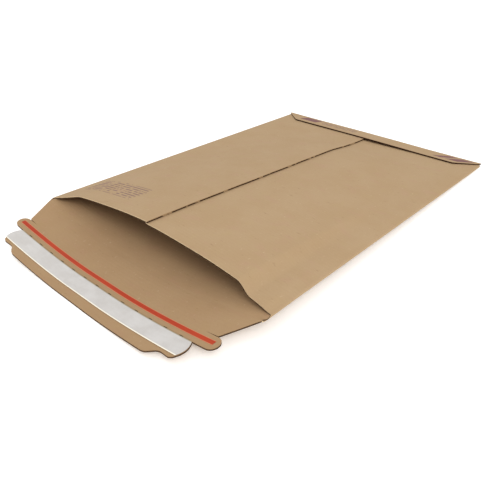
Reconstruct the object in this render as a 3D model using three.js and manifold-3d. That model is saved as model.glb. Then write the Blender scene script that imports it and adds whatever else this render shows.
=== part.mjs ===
// Rigid mailer of thin fluted board, lying open: a folded pouch and its closure flap.
// Millimetres. X runs across the mailer, +Y from the mouth to the closed end, +Z up.
// The part is drawn with the corners of the mouth at Y = 0 and is centred at the end.

import * as THREE from 'three';
import { mergeVertices } from 'three/addons/utils/BufferGeometryUtils.js';
import Module from 'manifold-3d';

const wasm = await Module();
wasm.setup();

// Board
const BOARD = 1.5;

// Pouch, outside sizes
const BODY_WIDTH = 248;
const BODY_LENGTH = 345;
const WALL_GAP = 0.4;

// The mouth is sprung open, and the pouch is flat again at its closed end
const MOUTH_EDGE_LIFT = 12.1;
const MOUTH_CROWN = 18.2;
const END_CROWN = 2.0;
const CROWN_FALL = 1.55;
const SHOULDER_INSET = 32;
const SHOULDER_WIDTH = 13;
const CROWN_POWER = 1.6;
const SHOULDER_SHARE = 0.5;
const FLANK_SHARE = 0.07;
const FAR_SHAPE_DISTANCE = 230;
const MOUTH_SETBACK = 5.5;

// Lower wall: flat in the middle, rising to the side folds
const FLAT_HALF_AT_MOUTH = 18;
const FLAT_HALF_INSIDE = 56;
const FLAT_GROWTH = 110;
const TROUGH_POWER = 1.7;

// Lapped seam: the left panel lies on the right one
const SEAM_X = 1;
const LAP_WIDTH = 30;
const LAP_GAP = 0.5;
const LAP_EASE = 80;

// Closing flap at the far end, folded up and over the two panels
const END_FLAP_DEPTH = 22;
const END_FLAP_GAP = 0.5;
const END_LEVEL = 2;
const END_FLAP_MITRE = 21;
const PANEL_END_INSET = 4.2;

// Closure flap, distances outward from the mouth's corners
const CREASE_Y = 6;
const CREASE_GAP = 0.3;
const SLIT_Y = 31.8;
const SLIT_WIDTH = 0.7;
const SLIT_DEPTH = 10.7;
const NECK_HALF = 109.3;
const TEAR_EAR_REACH = 117.4;
const TEAR_LINE_Y = 43.6;
const BAND_HALF = 99.4;
const BAND_EAR_BULGE = 3.0;
const BAND_END_Y = 60.4;
const BAND_EAR_TIP = 2.2;
const BAND_TIP_ROUND = 0.6;
const MARGIN_Y = 66.6;
const MARGIN_HALF = 82.4;
const MARGIN_STEP_RADIUS = 6.4;
const FLAP_EDGE_FALL = 2.7;
const KINK_RADIUS = 3;

// Perforation of the tear line
const NICK_LENGTH = 2.4;
const NICK_WIDTH = 0.5;
const NICK_PITCH = 14.9;

// Tear tape, adhesive and liner on the closure flap
const TAPE_Y = 37.6;
const TAPE_WIDTH = 4;
const TAPE_HALF_LENGTH = 112.2;
const TAPE_THICKNESS = 0.15;
const LINER_START_Y = 44.1;
const LINER_WIDTH = 14.2;
const LINER_THICKNESS = 0.2;
const ADHESIVE_INSET = 1.2;
const ADHESIVE_THICKNESS = 0.25;
const LAYER_GAP = 0.05;

// Glue lines
const GLUE_THICKNESS = 0.2;
const SEAM_GLUE_WIDTH = 14;
const SEAM_GLUE_END_INSET = 14;
const END_GLUE_WIDTH = 10;
const END_GLUE_SIDE_INSET = 14;

// How far a cutting outline stands past the sheet that it cuts
const CUT_MARGIN = 1.5;
const CUT_HEIGHT = 60;

// Fineness of the faces
const STATIONS = 16;
const PANEL_STEPS = 22;
const LAP_STEPS = 5;
const FOLD_STEPS = 6;
const WALL_STEPS = 24;
const FLAP_STEPS_X = 32;
const FLAP_STEPS_Y = 4;
const ARC_STEPS = 10;

const FOLD_RADIUS = BOARD + WALL_GAP / 2;
const FOLD_X = BODY_WIDTH / 2 - FOLD_RADIUS;

const clamp01 = (t) => Math.min(1, Math.max(0, t));
const smooth = (t) => clamp01(t) ** 2 * (3 - 2 * clamp01(t));
const mix = (a, b, t) => a + (b - a) * t;

// Under the closing flap the pouch is level
const LEVEL_Y = BODY_LENGTH - END_FLAP_DEPTH - END_LEVEL;

// Height of the side folds' underside over the floor, at a distance into the pouch
function sideLift(y) {
  return MOUTH_EDGE_LIFT * clamp01(1 - y / LEVEL_Y);
}

// Underside of the lower wall
function lowerFace(x, y) {
  const flatHalf = mix(FLAT_HALF_AT_MOUTH, FLAT_HALF_INSIDE, smooth(y / FLAT_GROWTH));
  const across = clamp01((Math.abs(x) - flatHalf) / (FOLD_X - flatHalf));
  return sideLift(y) * across ** TROUGH_POWER;
}

// Rise of the upper panels above their side folds, from 0 at the fold to 1 on the centre line
function mouthShape(x) {
  const shoulderX = FOLD_X - SHOULDER_INSET;
  const footX = shoulderX + SHOULDER_WIDTH;
  const distance = Math.abs(x);
  if (distance <= shoulderX) {
    return 1 - (1 - SHOULDER_SHARE) * (distance / shoulderX) ** CROWN_POWER;
  }
  if (distance <= footX) {
    return mix(SHOULDER_SHARE, FLANK_SHARE, smooth((distance - shoulderX) / SHOULDER_WIDTH));
  }
  return FLANK_SHARE * (1 - smooth((distance - footX) / (FOLD_X - footX)));
}

function farShape(x) {
  return Math.cos(clamp01(Math.abs(x) / FOLD_X) * Math.PI / 2) ** 2;
}

// Outside face of the upper panels; the right panel dips under the left one at the lap
function upperFace(x, y, isRight) {
  const inward = Math.min(y, LEVEL_Y) / BODY_LENGTH;
  const crown = END_CROWN + (MOUTH_CROWN - END_CROWN) * (1 - clamp01(inward) ** CROWN_FALL);
  const rise = mix(mouthShape(x), farShape(x), smooth(y / FAR_SHAPE_DISTANCE));
  const lapDrop = isRight ? (BOARD + LAP_GAP) * (1 - smooth((x - SEAM_X) / LAP_EASE)) : 0;
  return sideLift(y) + 2 * FOLD_RADIUS + crown * rise - lapDrop;
}

// Front edges: the lower wall runs on to the crease, the panels stop at the mouth
function panelFront(x) {
  return MOUTH_SETBACK * smooth((FOLD_X - Math.abs(x)) / SHOULDER_INSET);
}

function makeGeometry(positions, indices) {
  const geometry = new THREE.BufferGeometry();
  geometry.setAttribute('position', new THREE.Float32BufferAttribute(positions, 3));
  geometry.setIndex(indices);
  return geometry;
}

// A bent sheet with two faces: rows of points on each face, closed along its four edges.
// faceA and faceB are functions of a row and a column, and B lies under A.
function sheetGeometry(rows, columns, faceA, faceB) {
  const positions = [];
  const indices = [];
  for (const face of [faceA, faceB]) {
    for (let i = 0; i < rows; i += 1) {
      for (let j = 0; j < columns; j += 1) {
        positions.push(...face(i, j));
      }
    }
  }
  const a = (i, j) => i * columns + j;
  const b = (i, j) => rows * columns + i * columns + j;
  const quad = (p, q, r, s) => indices.push(p, r, q, p, s, r);
  for (let i = 0; i < rows - 1; i += 1) {
    for (let j = 0; j < columns - 1; j += 1) {
      quad(a(i, j), a(i, j + 1), a(i + 1, j + 1), a(i + 1, j));
      quad(b(i, j), b(i + 1, j), b(i + 1, j + 1), b(i, j + 1));
    }
    quad(a(i, 0), a(i + 1, 0), b(i + 1, 0), b(i, 0));
    quad(a(i, columns - 1), b(i, columns - 1), b(i + 1, columns - 1), a(i + 1, columns - 1));
  }
  for (let j = 0; j < columns - 1; j += 1) {
    quad(a(0, j), b(0, j), b(0, j + 1), a(0, j + 1));
    quad(a(rows - 1, j), a(rows - 1, j + 1), b(rows - 1, j + 1), b(rows - 1, j));
  }
  return makeGeometry(positions, indices);
}

function toSolid(geometry) {
  const bare = geometry.clone();
  bare.deleteAttribute('normal');
  bare.deleteAttribute('uv');
  const merged = mergeVertices(bare, 1e-5);
  return new wasm.Manifold(new wasm.Mesh({
    numProp: 3,
    vertProperties: new Float32Array(merged.attributes.position.array),
    triVerts: new Uint32Array(merged.index.array),
  }));
}

function toGeometry(solid) {
  const mesh = solid.getMesh();
  return makeGeometry(Array.from(mesh.vertProperties), Array.from(mesh.triVerts));
}

// A tall upright prism on a plan outline, used to cut bent sheets to shape
function planPrism(shape) {
  const geometry = new THREE.ExtrudeGeometry(shape, { depth: CUT_HEIGHT, bevelEnabled: false });
  geometry.translate(0, 0, -CUT_HEIGHT / 4);
  return toSolid(geometry);
}

// Places across one upper panel, from the seam to its side fold
function panelStops(foldX) {
  return Array.from({ length: PANEL_STEPS + 1 }, (_, k) => mix(SEAM_X, foldX, k / PANEL_STEPS));
}

// The ribbon of board round one station of the pouch, from the left panel's free edge,
// over the left fold, under the lower wall and up over the right fold to the hidden lap
function ribbonStops() {
  const stops = panelStops(-FOLD_X).map((x) => ({ part: 'left', x }));
  for (let k = 1; k < FOLD_STEPS; k += 1) {
    stops.push({ part: 'leftFold', turn: k / FOLD_STEPS });
  }
  for (let k = 0; k <= WALL_STEPS; k += 1) {
    stops.push({ part: 'wall', x: mix(-FOLD_X, FOLD_X, k / WALL_STEPS) });
  }
  for (let k = 1; k < FOLD_STEPS; k += 1) {
    stops.push({ part: 'rightFold', turn: k / FOLD_STEPS });
  }
  stops.push(...panelStops(FOLD_X).reverse().map((x) => ({ part: 'right', x })));
  for (let k = 1; k <= LAP_STEPS; k += 1) {
    stops.push({ part: 'right', x: SEAM_X - LAP_WIDTH * (k / LAP_STEPS) });
  }
  return stops;
}

// Stations are even from the front edge to the level end, and the last is the far edge
function stationY(frontY, station) {
  if (station === STATIONS - 1) {
    return BODY_LENGTH - PANEL_END_INSET;
  }
  return mix(frontY, LEVEL_Y, station / (STATIONS - 2));
}

function ribbonPoint(stop, station, depth) {
  if (stop.part === 'wall') {
    const y = stationY(-CREASE_Y, station);
    return [stop.x, y, lowerFace(stop.x, y) + depth];
  }
  if (stop.part === 'left' || stop.part === 'right') {
    const y = stationY(panelFront(stop.x), station);
    return [stop.x, y, upperFace(stop.x, y, stop.part === 'right') - depth];
  }
  const isLeft = stop.part === 'leftFold';
  const angle = isLeft ? mix(90, 270, stop.turn) : mix(-90, 90, stop.turn);
  const lowness = isLeft ? stop.turn : 1 - stop.turn;
  const y = stationY(mix(0, -CREASE_Y, smooth(lowness)), station);
  const radius = FOLD_RADIUS - depth;
  const centreX = isLeft ? -FOLD_X : FOLD_X;
  const turn = THREE.MathUtils.degToRad(angle);
  const centreZ = sideLift(y) + FOLD_RADIUS;
  return [centreX + radius * Math.cos(turn), y, centreZ + radius * Math.sin(turn)];
}

function pouchRibbon() {
  const stops = ribbonStops();
  const outside = (i, j) => ribbonPoint(stops[j], i, 0);
  const inside = (i, j) => ribbonPoint(stops[j], i, BOARD);
  return toSolid(sheetGeometry(STATIONS, stops.length, outside, inside));
}

// The wrap at the far end: on from the lower wall, up round the end and back over the panels
function endFlapPoint(x, step, depth) {
  const panelTop = upperFace(x, BODY_LENGTH, x > SEAM_X);
  const outerHeight = panelTop + END_FLAP_GAP + BOARD;
  const outerRadius = outerHeight / 2;
  const centreY = BODY_LENGTH - outerRadius;
  if (step === 0) {
    return [x, BODY_LENGTH - END_FLAP_DEPTH / 2, depth];
  }
  if (step <= FOLD_STEPS + 1) {
    const turn = THREE.MathUtils.degToRad(mix(-90, 90, (step - 1) / FOLD_STEPS));
    const radius = outerRadius - depth;
    return [x, centreY + radius * Math.cos(turn), outerRadius + radius * Math.sin(turn)];
  }
  return [x, BODY_LENGTH - END_FLAP_DEPTH, outerHeight - depth];
}

function endFlapOutline() {
  const half = BODY_WIDTH / 2;
  const startY = BODY_LENGTH - END_FLAP_DEPTH;
  const startHalf = FOLD_X - END_FLAP_MITRE;
  const mitreTop = startY + END_FLAP_MITRE;
  return new THREE.Shape([
    new THREE.Vector2(-half, BODY_LENGTH + CUT_MARGIN),
    new THREE.Vector2(-half, mitreTop + FOLD_RADIUS),
    new THREE.Vector2(-startHalf, startY - CUT_MARGIN),
    new THREE.Vector2(startHalf, startY - CUT_MARGIN),
    new THREE.Vector2(half, mitreTop + FOLD_RADIUS),
    new THREE.Vector2(half, BODY_LENGTH + CUT_MARGIN),
  ]);
}

function endFlap() {
  const across = [...panelStops(FOLD_X).reverse(), ...panelStops(-FOLD_X).slice(1)];
  const outside = (i, j) => endFlapPoint(across[i], j, 0);
  const inside = (i, j) => endFlapPoint(across[i], j, BOARD);
  const wrap = toSolid(sheetGeometry(across.length, FOLD_STEPS + 3, outside, inside));
  return wrap.intersect(planPrism(endFlapOutline()));
}

function pouchGeometry() {
  return toGeometry(pouchRibbon().add(endFlap()));
}

// Upper face of the closure flap: the lower wall's trough runs on, and eases outward
function flapFace(x, outward) {
  const edge = MOUTH_EDGE_LIFT - FLAP_EDGE_FALL * clamp01((outward - CREASE_Y) / (MARGIN_Y - CREASE_Y));
  const across = Math.max(0, Math.abs(x) - FLAT_HALF_AT_MOUTH) / (FOLD_X - FLAT_HALF_AT_MOUTH);
  return edge * across ** TROUGH_POWER + BOARD;
}

// A bent layer that follows the closure flap's face, between two heights over it
function flapLayer(low, high, fromY, toY) {
  const half = BODY_WIDTH / 2 + CUT_MARGIN;
  const rows = FLAP_STEPS_X + 1;
  const columns = FLAP_STEPS_Y + 1;
  const point = (i, j, over) => {
    const x = mix(-half, half, i / (rows - 1));
    const outward = mix(fromY, toY, j / (columns - 1));
    return [x, -outward, flapFace(x, outward) + over];
  };
  const top = (i, j) => point(i, j, high);
  const bottom = (i, j) => point(i, j, low);
  return toSolid(sheetGeometry(rows, columns, bottom, top));
}

function mirroredOutline(rightSide) {
  const leftSide = rightSide.map((p) => new THREE.Vector2(-p.x, p.y)).reverse();
  return new THREE.Shape([...rightSide, ...leftSide]);
}

function arcPoints(centreX, centreY, radius, fromDeg, toDeg) {
  const curve = new THREE.EllipseCurve(
    centreX,
    centreY,
    radius,
    radius,
    THREE.MathUtils.degToRad(fromDeg),
    THREE.MathUtils.degToRad(toDeg),
    toDeg < fromDeg,
  );
  return curve.getPoints(ARC_STEPS);
}

// The end of the band under the liner: a shallow arc bulging outward between two points
function bandEarPoints(from, to) {
  const middle = from.clone().add(to).multiplyScalar(0.5);
  middle.x += 2 * BAND_EAR_BULGE;
  return new THREE.QuadraticBezierCurve(from, middle, to).getPoints(ARC_STEPS);
}

function bandEar() {
  const from = new THREE.Vector2(BAND_HALF, -TEAR_LINE_Y);
  const to = new THREE.Vector2(BAND_HALF, -BAND_END_Y + BAND_TIP_ROUND);
  return bandEarPoints(from, to);
}

// Right half of the closure flap's die-cut outline, from the crease outward
function flapRightSide() {
  const half = BODY_WIDTH / 2;
  const earRadius = (TEAR_LINE_Y - SLIT_Y - SLIT_WIDTH / 2) / 2;
  const earCentreY = -(SLIT_Y + SLIT_WIDTH / 2 + TEAR_LINE_Y) / 2;
  const creaseY = -(CREASE_Y + CREASE_GAP);
  const stepCentreX = MARGIN_HALF + MARGIN_STEP_RADIUS;
  const stepCentreY = -BAND_END_Y - MARGIN_STEP_RADIUS;
  return [
    new THREE.Vector2(half - FOLD_RADIUS / 2, creaseY),
    new THREE.Vector2(half - FOLD_RADIUS, creaseY - KINK_RADIUS),
    new THREE.Vector2(NECK_HALF, -SLIT_Y + SLIT_WIDTH / 2),
    new THREE.Vector2(NECK_HALF - SLIT_DEPTH, -SLIT_Y),
    ...arcPoints(TEAR_EAR_REACH - earRadius, earCentreY, earRadius, 90, -90),
    ...bandEar(),
    new THREE.Vector2(BAND_HALF - BAND_EAR_TIP, -BAND_END_Y - BAND_TIP_ROUND),
    ...arcPoints(stepCentreX, stepCentreY, MARGIN_STEP_RADIUS, 90, 180).slice(0, -1),
    new THREE.Vector2(MARGIN_HALF, -MARGIN_Y),
  ];
}

function nickPrism(x) {
  const shape = new THREE.Shape();
  const y = -TEAR_LINE_Y;
  shape.moveTo(x - NICK_LENGTH / 2, y - NICK_WIDTH / 2);
  shape.lineTo(x + NICK_LENGTH / 2, y - NICK_WIDTH / 2);
  shape.lineTo(x + NICK_LENGTH / 2, y + NICK_WIDTH / 2);
  shape.lineTo(x - NICK_LENGTH / 2, y + NICK_WIDTH / 2);
  return planPrism(shape);
}

function closureFlapGeometry() {
  const sheet = flapLayer(-BOARD, 0, CREASE_Y, MARGIN_Y + CUT_MARGIN);
  let flap = sheet.intersect(planPrism(mirroredOutline(flapRightSide())));
  const nicks = Math.floor((BAND_HALF - NICK_LENGTH) / NICK_PITCH);
  for (let k = -nicks; k <= nicks; k += 1) {
    flap = flap.subtract(nickPrism(k * NICK_PITCH));
  }
  return toGeometry(flap);
}

function stripGeometry(low, high, fromY, toY, rightSide) {
  const layer = flapLayer(low, high, fromY - CUT_MARGIN, toY + CUT_MARGIN);
  return toGeometry(layer.intersect(planPrism(mirroredOutline(rightSide))));
}

function tearTapeGeometry() {
  const nearY = -(TAPE_Y - TAPE_WIDTH / 2);
  const farY = -(TAPE_Y + TAPE_WIDTH / 2);
  const side = [new THREE.Vector2(TAPE_HALF_LENGTH, nearY), new THREE.Vector2(TAPE_HALF_LENGTH, farY)];
  return stripGeometry(LAYER_GAP, LAYER_GAP + TAPE_THICKNESS, -nearY, -farY, side);
}

// The liner's ends are cut flush with the ears of the band that carries it
function linerSide(inset) {
  const nearY = -LINER_START_Y - inset;
  const farY = -(LINER_START_Y + LINER_WIDTH) + inset;
  const ear = bandEar();
  const edgeAt = (y) => {
    const next = Math.max(1, ear.findIndex((p) => p.y <= y));
    const before = ear[next - 1];
    const t = (before.y - y) / (before.y - ear[next].y);
    return mix(before.x, ear[next].x, t) - inset;
  };
  const side = [];
  for (let k = 0; k <= ARC_STEPS; k += 1) {
    const y = mix(nearY, farY, k / ARC_STEPS);
    side.push(new THREE.Vector2(edgeAt(y), y));
  }
  return side;
}

function adhesiveGeometry() {
  const side = linerSide(ADHESIVE_INSET);
  const high = LAYER_GAP + ADHESIVE_THICKNESS;
  return stripGeometry(LAYER_GAP, high, LINER_START_Y, LINER_START_Y + LINER_WIDTH, side);
}

function linerGeometry() {
  const low = 2 * LAYER_GAP + ADHESIVE_THICKNESS;
  const side = linerSide(0);
  return stripGeometry(low, low + LINER_THICKNESS, LINER_START_Y, LINER_START_Y + LINER_WIDTH, side);
}

// Glue in the lap, between the hidden edge of the right panel and the left panel
function seamGlueGeometry() {
  const middleX = SEAM_X - LAP_WIDTH / 2;
  const point = (i, j, depth) => {
    const x = middleX + mix(-SEAM_GLUE_WIDTH, SEAM_GLUE_WIDTH, j / 4) / 2;
    const startY = MOUTH_SETBACK + SEAM_GLUE_END_INSET;
    const endY = BODY_LENGTH - END_FLAP_DEPTH - SEAM_GLUE_END_INSET;
    const y = mix(startY, endY, i / (STATIONS - 1));
    const left = upperFace(x, y, false) - BOARD;
    return [x, y, left - (LAP_GAP - GLUE_THICKNESS) / 2 - depth];
  };
  const top = (i, j) => point(i, j, 0);
  const bottom = (i, j) => point(i, j, GLUE_THICKNESS);
  return sheetGeometry(STATIONS, 5, bottom, top);
}

// Glue under the closing flap, on the left panel
function endGlueGeometry() {
  const startX = -BODY_WIDTH / 2 + END_FLAP_MITRE + END_GLUE_SIDE_INSET;
  const endX = SEAM_X - END_GLUE_SIDE_INSET;
  const middleY = BODY_LENGTH - END_FLAP_DEPTH / 2 - PANEL_END_INSET / 2;
  const rows = PANEL_STEPS + 1;
  const point = (i, j, depth) => {
    const x = mix(startX, endX, i / (rows - 1));
    const y = middleY + mix(-END_GLUE_WIDTH, END_GLUE_WIDTH, j / 2) / 2;
    return [x, y, upperFace(x, y, false) + (END_FLAP_GAP - GLUE_THICKNESS) / 2 + GLUE_THICKNESS - depth];
  };
  const top = (i, j) => point(i, j, 0);
  const bottom = (i, j) => point(i, j, GLUE_THICKNESS);
  return sheetGeometry(rows, 3, top, bottom);
}

function paperMaterial(color, roughness) {
  return new THREE.MeshStandardMaterial({ color, roughness, metalness: 0 });
}

const kraftBoard = paperMaterial('#c3a27e', 0.9);
const redFilm = paperMaterial('#c8503c', 0.45);
const whiteLiner = paperMaterial('#d8d8d4', 0.55);
const clearAdhesive = paperMaterial('#d9cda6', 0.5);
const paleGlue = paperMaterial('#e8e0cc', 0.6);

const mailer = new THREE.Group();

// The origin is the middle of the plan's box, at the floor
mailer.position.y = -(BODY_LENGTH - MARGIN_Y) / 2;

function addNode(name, geometry, material) {
  const mesh = new THREE.Mesh(geometry, material);
  mesh.name = name;
  mailer.add(mesh);
}

addNode('mailer_pouch', pouchGeometry(), kraftBoard);
addNode('closure_flap', closureFlapGeometry(), kraftBoard);
addNode('tear_tape', tearTapeGeometry(), redFilm);
addNode('adhesive_strip', adhesiveGeometry(), clearAdhesive);
addNode('release_liner', linerGeometry(), whiteLiner);
addNode('seam_glue_line', seamGlueGeometry(), paleGlue);
addNode('end_glue_line', endGlueGeometry(), paleGlue);

export default mailer;
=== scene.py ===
# Looks of a rigid mailer of thin fluted board, lying open on a pale floor.

import math

import bpy
from mathutils import Matrix, Vector, geometry


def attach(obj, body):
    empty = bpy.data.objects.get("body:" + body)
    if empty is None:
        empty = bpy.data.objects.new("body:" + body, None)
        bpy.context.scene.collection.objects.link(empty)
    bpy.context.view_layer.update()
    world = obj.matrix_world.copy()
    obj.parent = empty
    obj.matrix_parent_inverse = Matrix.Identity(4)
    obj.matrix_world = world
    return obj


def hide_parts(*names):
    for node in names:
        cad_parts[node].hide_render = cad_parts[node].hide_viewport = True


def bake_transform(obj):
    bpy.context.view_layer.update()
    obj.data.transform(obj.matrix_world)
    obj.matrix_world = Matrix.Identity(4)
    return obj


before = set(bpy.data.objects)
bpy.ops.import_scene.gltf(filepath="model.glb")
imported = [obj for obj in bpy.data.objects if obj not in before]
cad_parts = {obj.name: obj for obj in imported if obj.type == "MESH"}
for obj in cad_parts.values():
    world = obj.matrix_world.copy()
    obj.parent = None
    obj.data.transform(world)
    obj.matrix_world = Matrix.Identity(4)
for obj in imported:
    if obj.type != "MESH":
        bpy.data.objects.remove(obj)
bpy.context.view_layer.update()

# Metres in a millimetre. The lengths below are in millimetres, shares and powers are plain numbers.
MM = 0.001

# Sizes of the pouch, the same as in its solids
BOARD = 1.5
BODY_WIDTH = 248
BODY_LENGTH = 345
WALL_GAP = 0.4
MOUTH_EDGE_LIFT = 12.1
MOUTH_CROWN = 18.2
SHOULDER_INSET = 32
SHOULDER_WIDTH = 13
CROWN_POWER = 1.6
SHOULDER_SHARE = 0.5
FLANK_SHARE = 0.07
FAR_SHAPE_DISTANCE = 230
MOUTH_SETBACK = 5.5
FLAT_HALF_AT_MOUTH = 18
FLAT_HALF_INSIDE = 56
FLAT_GROWTH = 110
TROUGH_POWER = 1.7
SEAM_X = 1
LAP_WIDTH = 30
LAP_EASE = 80
END_FLAP_DEPTH = 22
END_LEVEL = 2
END_FLAP_MITRE = 21
PANEL_END_INSET = 4.2
GLUE_THICKNESS = 0.2
SEAM_GLUE_WIDTH = 14
SEAM_GLUE_END_INSET = 14
END_GLUE_WIDTH = 10
END_GLUE_SIDE_INSET = 14

# Sizes of the closure flap and of the layers on it, the same as in their solids
CREASE_Y = 6
SLIT_Y = 31.8
SLIT_WIDTH = 0.7
SLIT_DEPTH = 10.7
NECK_HALF = 109.3
TEAR_LINE_Y = 43.6
BAND_HALF = 99.4
BAND_EAR_BULGE = 3.0
BAND_END_Y = 60.4
BAND_EAR_TIP = 2.2
BAND_TIP_ROUND = 0.6
MARGIN_Y = 66.6
MARGIN_HALF = 82.4
FLAP_EDGE_FALL = 2.7
NICK_LENGTH = 2.4
NICK_WIDTH = 0.5
NICK_PITCH = 14.9
TAPE_Y = 37.6
TAPE_WIDTH = 4
TAPE_HALF_LENGTH = 112.2
TAPE_THICKNESS = 0.15
LINER_START_Y = 44.1
LINER_WIDTH = 14.2
LINER_THICKNESS = 0.2
ADHESIVE_THICKNESS = 0.25
LAYER_GAP = 0.05

FOLD_RADIUS = BOARD + WALL_GAP / 2
FOLD_X = BODY_WIDTH / 2 - FOLD_RADIUS
LEVEL_Y = BODY_LENGTH - END_FLAP_DEPTH - END_LEVEL
PANEL_END_Y = BODY_LENGTH - PANEL_END_INSET
ORIGIN_Y = (BODY_LENGTH - MARGIN_Y) / 2

# Forms of the pouch that are finer here than in its solids
END_CROWN = 1.0
CROWN_FALL = 1.2
FAR_PRESS = 0.65
FAR_PRESS_START = 250
FAR_LIFT = 2.6
FAR_LIFT_START_X = 70
FAR_LIFT_POWER = 1.3
LEFT_FLANK_POWER = 1.15
RIGHT_CORNER_SETBACK = 1.9
SEAM_SKEW = 5.3
LAP_GAP = 0.3
LAP_SETBACK = 6
END_FLAP_GAP = 0.3
MITRE_LENGTH = 19
WRAP_TUCK = 0.982

# Pressing of the board along folds, right mouth corner and closed end, as shares of its thickness
FOLD_CRUSH = 0.2
CRUSH_WIDTH = 8
CREASE_FADE = 4
CORNER_CRUSH = 0.38
CORNER_LENGTH = 34
END_CRUSH = 0.45

# Unevenness of the upper panels: its height, where it fades, and waves in radians a millimetre
RIPPLE = 0.2
RIPPLE_END_FADE = 60
RIPPLE_SIDE_FADE = 30
BROAD_WAVE = (0.043, 0.031)
BROAD_START = (1.3, 0.4)
FINE_WAVE = (0.105, 0.081)
FINE_SKEW = (0.047, 0.03)
FINE_START = 2.1
FINE_SHARE = 0.45

# Forms of the closure flap that are finer here than in its solid
TEAR_EAR_REACH = 116.4
LEFT_EAR_REACH = 114.4
LEFT_MARGIN_Y = 65.2
LEFT_EDGE_FALL = 1.2
LEFT_TAPE_END = 110.4
STEP_REACHES = (8, 2, 1.5, -4.5)
CREASE_DIP = 0.12
CREASE_DIP_WIDTH = 2.2

# Cut edges of the board
LINER_SHARE = 0.15
GROOVE_DEPTH = 0.15
GROOVE_SWELL = 1.15
FLUTE_PITCH = 3.2

# Fineness of the meshes
PANEL_STEPS = 62
LAP_STEPS = 8
FOLD_STEPS = 12
WALL_STEPS = 90
STATION_STEPS = 104
FRONT_ROWS = 6
FRONT_ROW_LENGTH = 0.8
WRAP_COLUMNS = 124
WRAP_TOP_ROWS = 12
FLAP_GRID = 2.4
LAYER_GRID = 2.0
GRID_CLEARANCE = 0.45
MERGE_DISTANCE = 1e-5
ARC_STEPS = 14
GLUE_ROWS = 60
GLUE_COLUMNS = 5
FLUTE_SLOPE = 0.8
SHARP_ANGLE_DEG = 38
SETTLE_ROUNDS = 2

# Camera: place and sensor in millimetres, turns in degrees, picture in pixels, reach in metres
CAMERA_PLACE = (283.1, -336.7, 224.5)
CAMERA_TURN_DEG = 42.28
CAMERA_DOWN_DEG = 32.02
CAMERA_ROLL_DEG = -0.70
SENSOR_WIDTH = 36
PHOTO_WIDTH = 490
FOCAL_PIXELS = 528.02
CLIP_START = 0.01
CLIP_END = 100

# Floor and lights: places and sizes in metres, energy in watts
FLOOR_SIZE = 12
FLOOR_DROP = 0.0002
FLOOR_GLOW = 0.18
WORLD_STRENGTH = 0.96
LIGHTS = {
    "key": {"spot": (1.5, -1.0, 1.7), "size": 1.2, "energy": 22, "warmth": (1.0, 0.985, 0.96)},
    "fill": {"spot": (-1.4, -0.6, 1.8), "size": 1.6, "energy": 3, "warmth": (0.97, 0.985, 1.0)},
}


def clamp01(t):
    return min(1.0, max(0.0, t))


def smooth(t):
    t = clamp01(t)
    return t * t * (3 - 2 * t)


def mix(a, b, t):
    return a + (b - a) * t


def place(x, y, z):
    """A point of the drawing, in millimetres from the mouth's corners, in the frame's metres."""
    return Vector((x * MM, (y - ORIGIN_Y) * MM, z * MM))


def board_place(x, y, z):
    """A point of the pouch, whose closed end lifts a little at its left corner."""
    leftward = clamp01((FAR_LIFT_START_X - x) / (FAR_LIFT_START_X + BODY_WIDTH / 2))
    return place(x, y, z + FAR_LIFT * clamp01(y / BODY_LENGTH) * leftward ** FAR_LIFT_POWER)


# Shape of the board


def side_lift(y):
    """Height of the lower wall at the side folds, which rises toward the mouth."""
    return MOUTH_EDGE_LIFT * clamp01(1 - y / LEVEL_Y)


def lower_face(x, y):
    """Lower face of the lower wall: flat in the middle, and rising to the side folds."""
    flat_half = mix(FLAT_HALF_AT_MOUTH, FLAT_HALF_INSIDE, smooth(y / FLAT_GROWTH))
    across = clamp01((abs(x) - flat_half) / (FOLD_X - flat_half))
    return side_lift(y) * across ** TROUGH_POWER


def mouth_shape(x):
    """Share of the crown at the mouth: a straight left flank, and a shoulder on the right."""
    shoulder_x = FOLD_X - SHOULDER_INSET
    foot_x = shoulder_x + SHOULDER_WIDTH
    distance = abs(x)
    if distance <= shoulder_x:
        return 1 - (1 - SHOULDER_SHARE) * (distance / shoulder_x) ** CROWN_POWER
    if x < 0:
        return SHOULDER_SHARE * clamp01((FOLD_X - distance) / SHOULDER_INSET) ** LEFT_FLANK_POWER
    if distance <= foot_x:
        return mix(SHOULDER_SHARE, FLANK_SHARE, smooth((distance - shoulder_x) / SHOULDER_WIDTH))
    return FLANK_SHARE * (1 - smooth((distance - foot_x) / (FOLD_X - foot_x)))


def far_shape(x):
    """Share of the crown toward the closed end."""
    return math.cos(clamp01(abs(x) / FOLD_X) * math.pi / 2) ** 2


def ripple(x, y):
    """Slight unevenness of the upper panels, which dies away at the folds and the closed end."""
    fade = smooth((LEVEL_Y - y) / RIPPLE_END_FADE) * smooth((FOLD_X - abs(x)) / RIPPLE_SIDE_FADE)
    broad = math.sin(BROAD_WAVE[0] * x + BROAD_START[0])
    broad *= math.sin(BROAD_WAVE[1] * y + BROAD_START[1])
    fine = math.sin(FINE_WAVE[0] * x + FINE_SKEW[0] * y)
    fine *= math.sin(FINE_WAVE[1] * y - FINE_SKEW[1] * x + FINE_START)
    return RIPPLE * fade * (broad + FINE_SHARE * fine)


def seam_x(y):
    """The seam runs a little askew, to the left toward the closed end."""
    return SEAM_X - SEAM_SKEW * clamp01(y / LEVEL_Y)


def crush(x, y):
    """Share of the board's thickness that is pressed out of it."""
    near = smooth((abs(x) - FOLD_X + CRUSH_WIDTH) / CRUSH_WIDTH)
    corner = CORNER_CRUSH * (1 - smooth(y / CORNER_LENGTH)) if x > 0 else 0
    side = (FOLD_CRUSH + corner) * near * smooth((y + CREASE_Y) / CREASE_FADE)
    end = END_CRUSH * clamp01((y - LEVEL_Y) / (PANEL_END_Y - LEVEL_Y))
    return max(side, end)


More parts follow.
